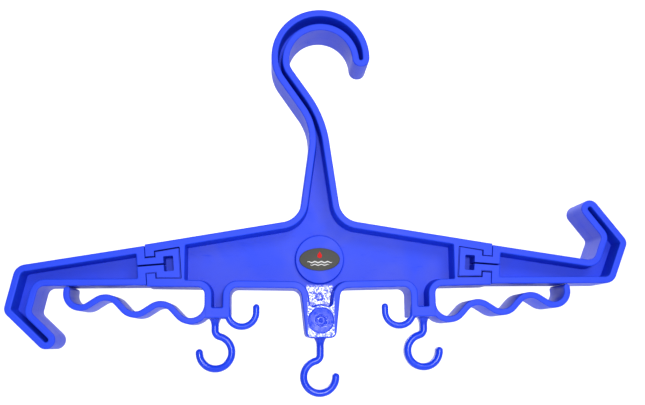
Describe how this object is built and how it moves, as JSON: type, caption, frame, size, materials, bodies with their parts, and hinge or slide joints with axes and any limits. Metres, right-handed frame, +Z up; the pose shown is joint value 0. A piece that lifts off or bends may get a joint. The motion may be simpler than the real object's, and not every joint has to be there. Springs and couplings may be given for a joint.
{
  "type": "multi-hook drying hanger",
  "caption": "Ribbed plastic drying hanger with a large rail hook, slide-in reversible hooked arms, sprung wave racks for gloves and socks, J-hooks and small round hooks below.",
  "frame": {"origin": "centre of the hanging hook's round seat, at mid-depth", "axes": "+X to the right along the hanger, +Y from the badge side to the back along the rail's axis, +Z up"},
  "size_m": [0.4564, 0.036, 0.2914],
  "materials": {
    "blue_plastic": "polished injection-moulded polypropylene, royal blue",
    "badge_face": "printed charcoal label under a clear domed coat"
  },
  "bodies": {
    "centre_moulding": {"centre_body": "blue_plastic", "hanging_hook": "blue_plastic", "left_j_hook": "blue_plastic", "right_j_hook": "blue_plastic", "left_lower_hook": "blue_plastic", "centre_lower_hook": "blue_plastic", "right_lower_hook": "blue_plastic", "badge": "badge_face"},
    "left_arm": {"left_arm": "blue_plastic"},
    "right_arm": {"right_arm": "blue_plastic"},
    "left_rack": {"left_rack": "blue_plastic"},
    "right_rack": {"right_rack": "blue_plastic"}
  },
  "joints": [
    {"name": "left_arm_slide", "type": "slide", "parent": "centre_moulding", "child": "left_arm", "axis": [0, -1, 0], "range_m": [0, 0.036]},
    {"name": "right_arm_slide", "type": "slide", "parent": "centre_moulding", "child": "right_arm", "axis": [0, -1, 0], "range_m": [0, 0.036]},
    {"name": "left_rack_flex", "type": "hinge", "parent": "centre_moulding", "child": "left_rack", "pos_m": [-0.0959, 0, -0.1957], "axis": [0, -1, 0], "range_deg": [0, 8], "stiffness_Nm_per_rad": 6},
    {"name": "right_rack_flex", "type": "hinge", "parent": "centre_moulding", "child": "right_rack", "pos_m": [0.0929, 0, -0.1957], "axis": [0, 1, 0], "range_deg": [0, 8], "stiffness_Nm_per_rad": 6}
  ]
}
